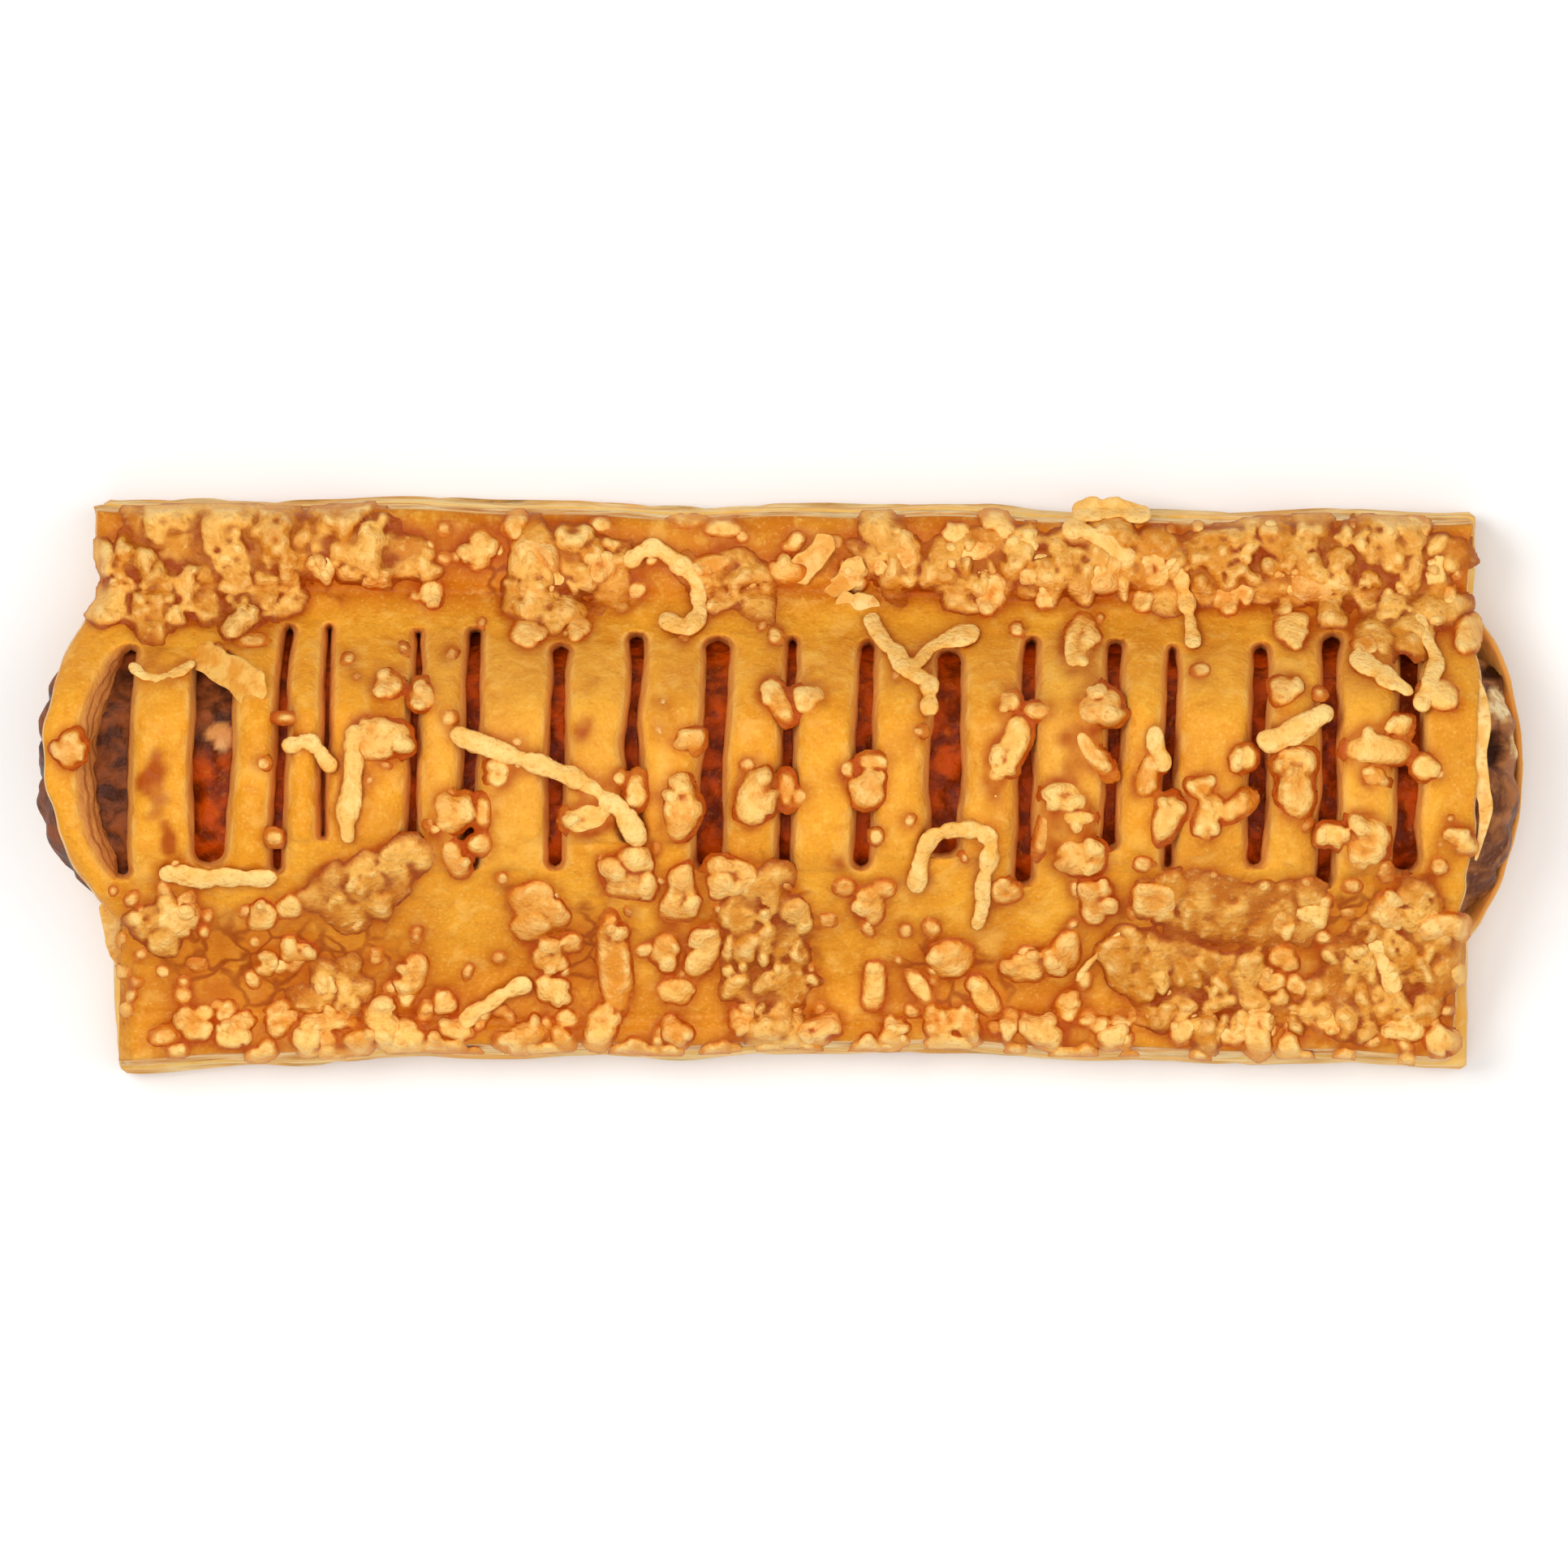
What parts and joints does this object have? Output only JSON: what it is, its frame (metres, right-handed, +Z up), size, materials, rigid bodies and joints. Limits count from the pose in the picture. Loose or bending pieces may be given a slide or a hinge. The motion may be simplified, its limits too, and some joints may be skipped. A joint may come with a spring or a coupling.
{
  "type": "cheese pastry slice",
  "caption": "Oblong puff pastry slice with a slit, domed lid, a savoury filling that bulges out at both ends, and grated cheese baked onto the crust.",
  "frame": {"origin": "middle of the footprint, on the surface that the slice lies on", "axes": "+X along the slice, +Y across it towards the long edge with the deeper cheese crust, +Z up"},
  "size_m": [0.1677, 0.0647, 0.0287],
  "materials": {
    "golden_crust": "glazed golden pastry crust with baked cheese",
    "pale_crust": "dry flaky pastry layers",
    "filling": "moist dark savoury filling"
  },
  "bodies": {
    "root": {"pastry_base": "pale_crust", "filling": "filling", "pastry_lid": "golden_crust"}
  },
  "joints": []
}
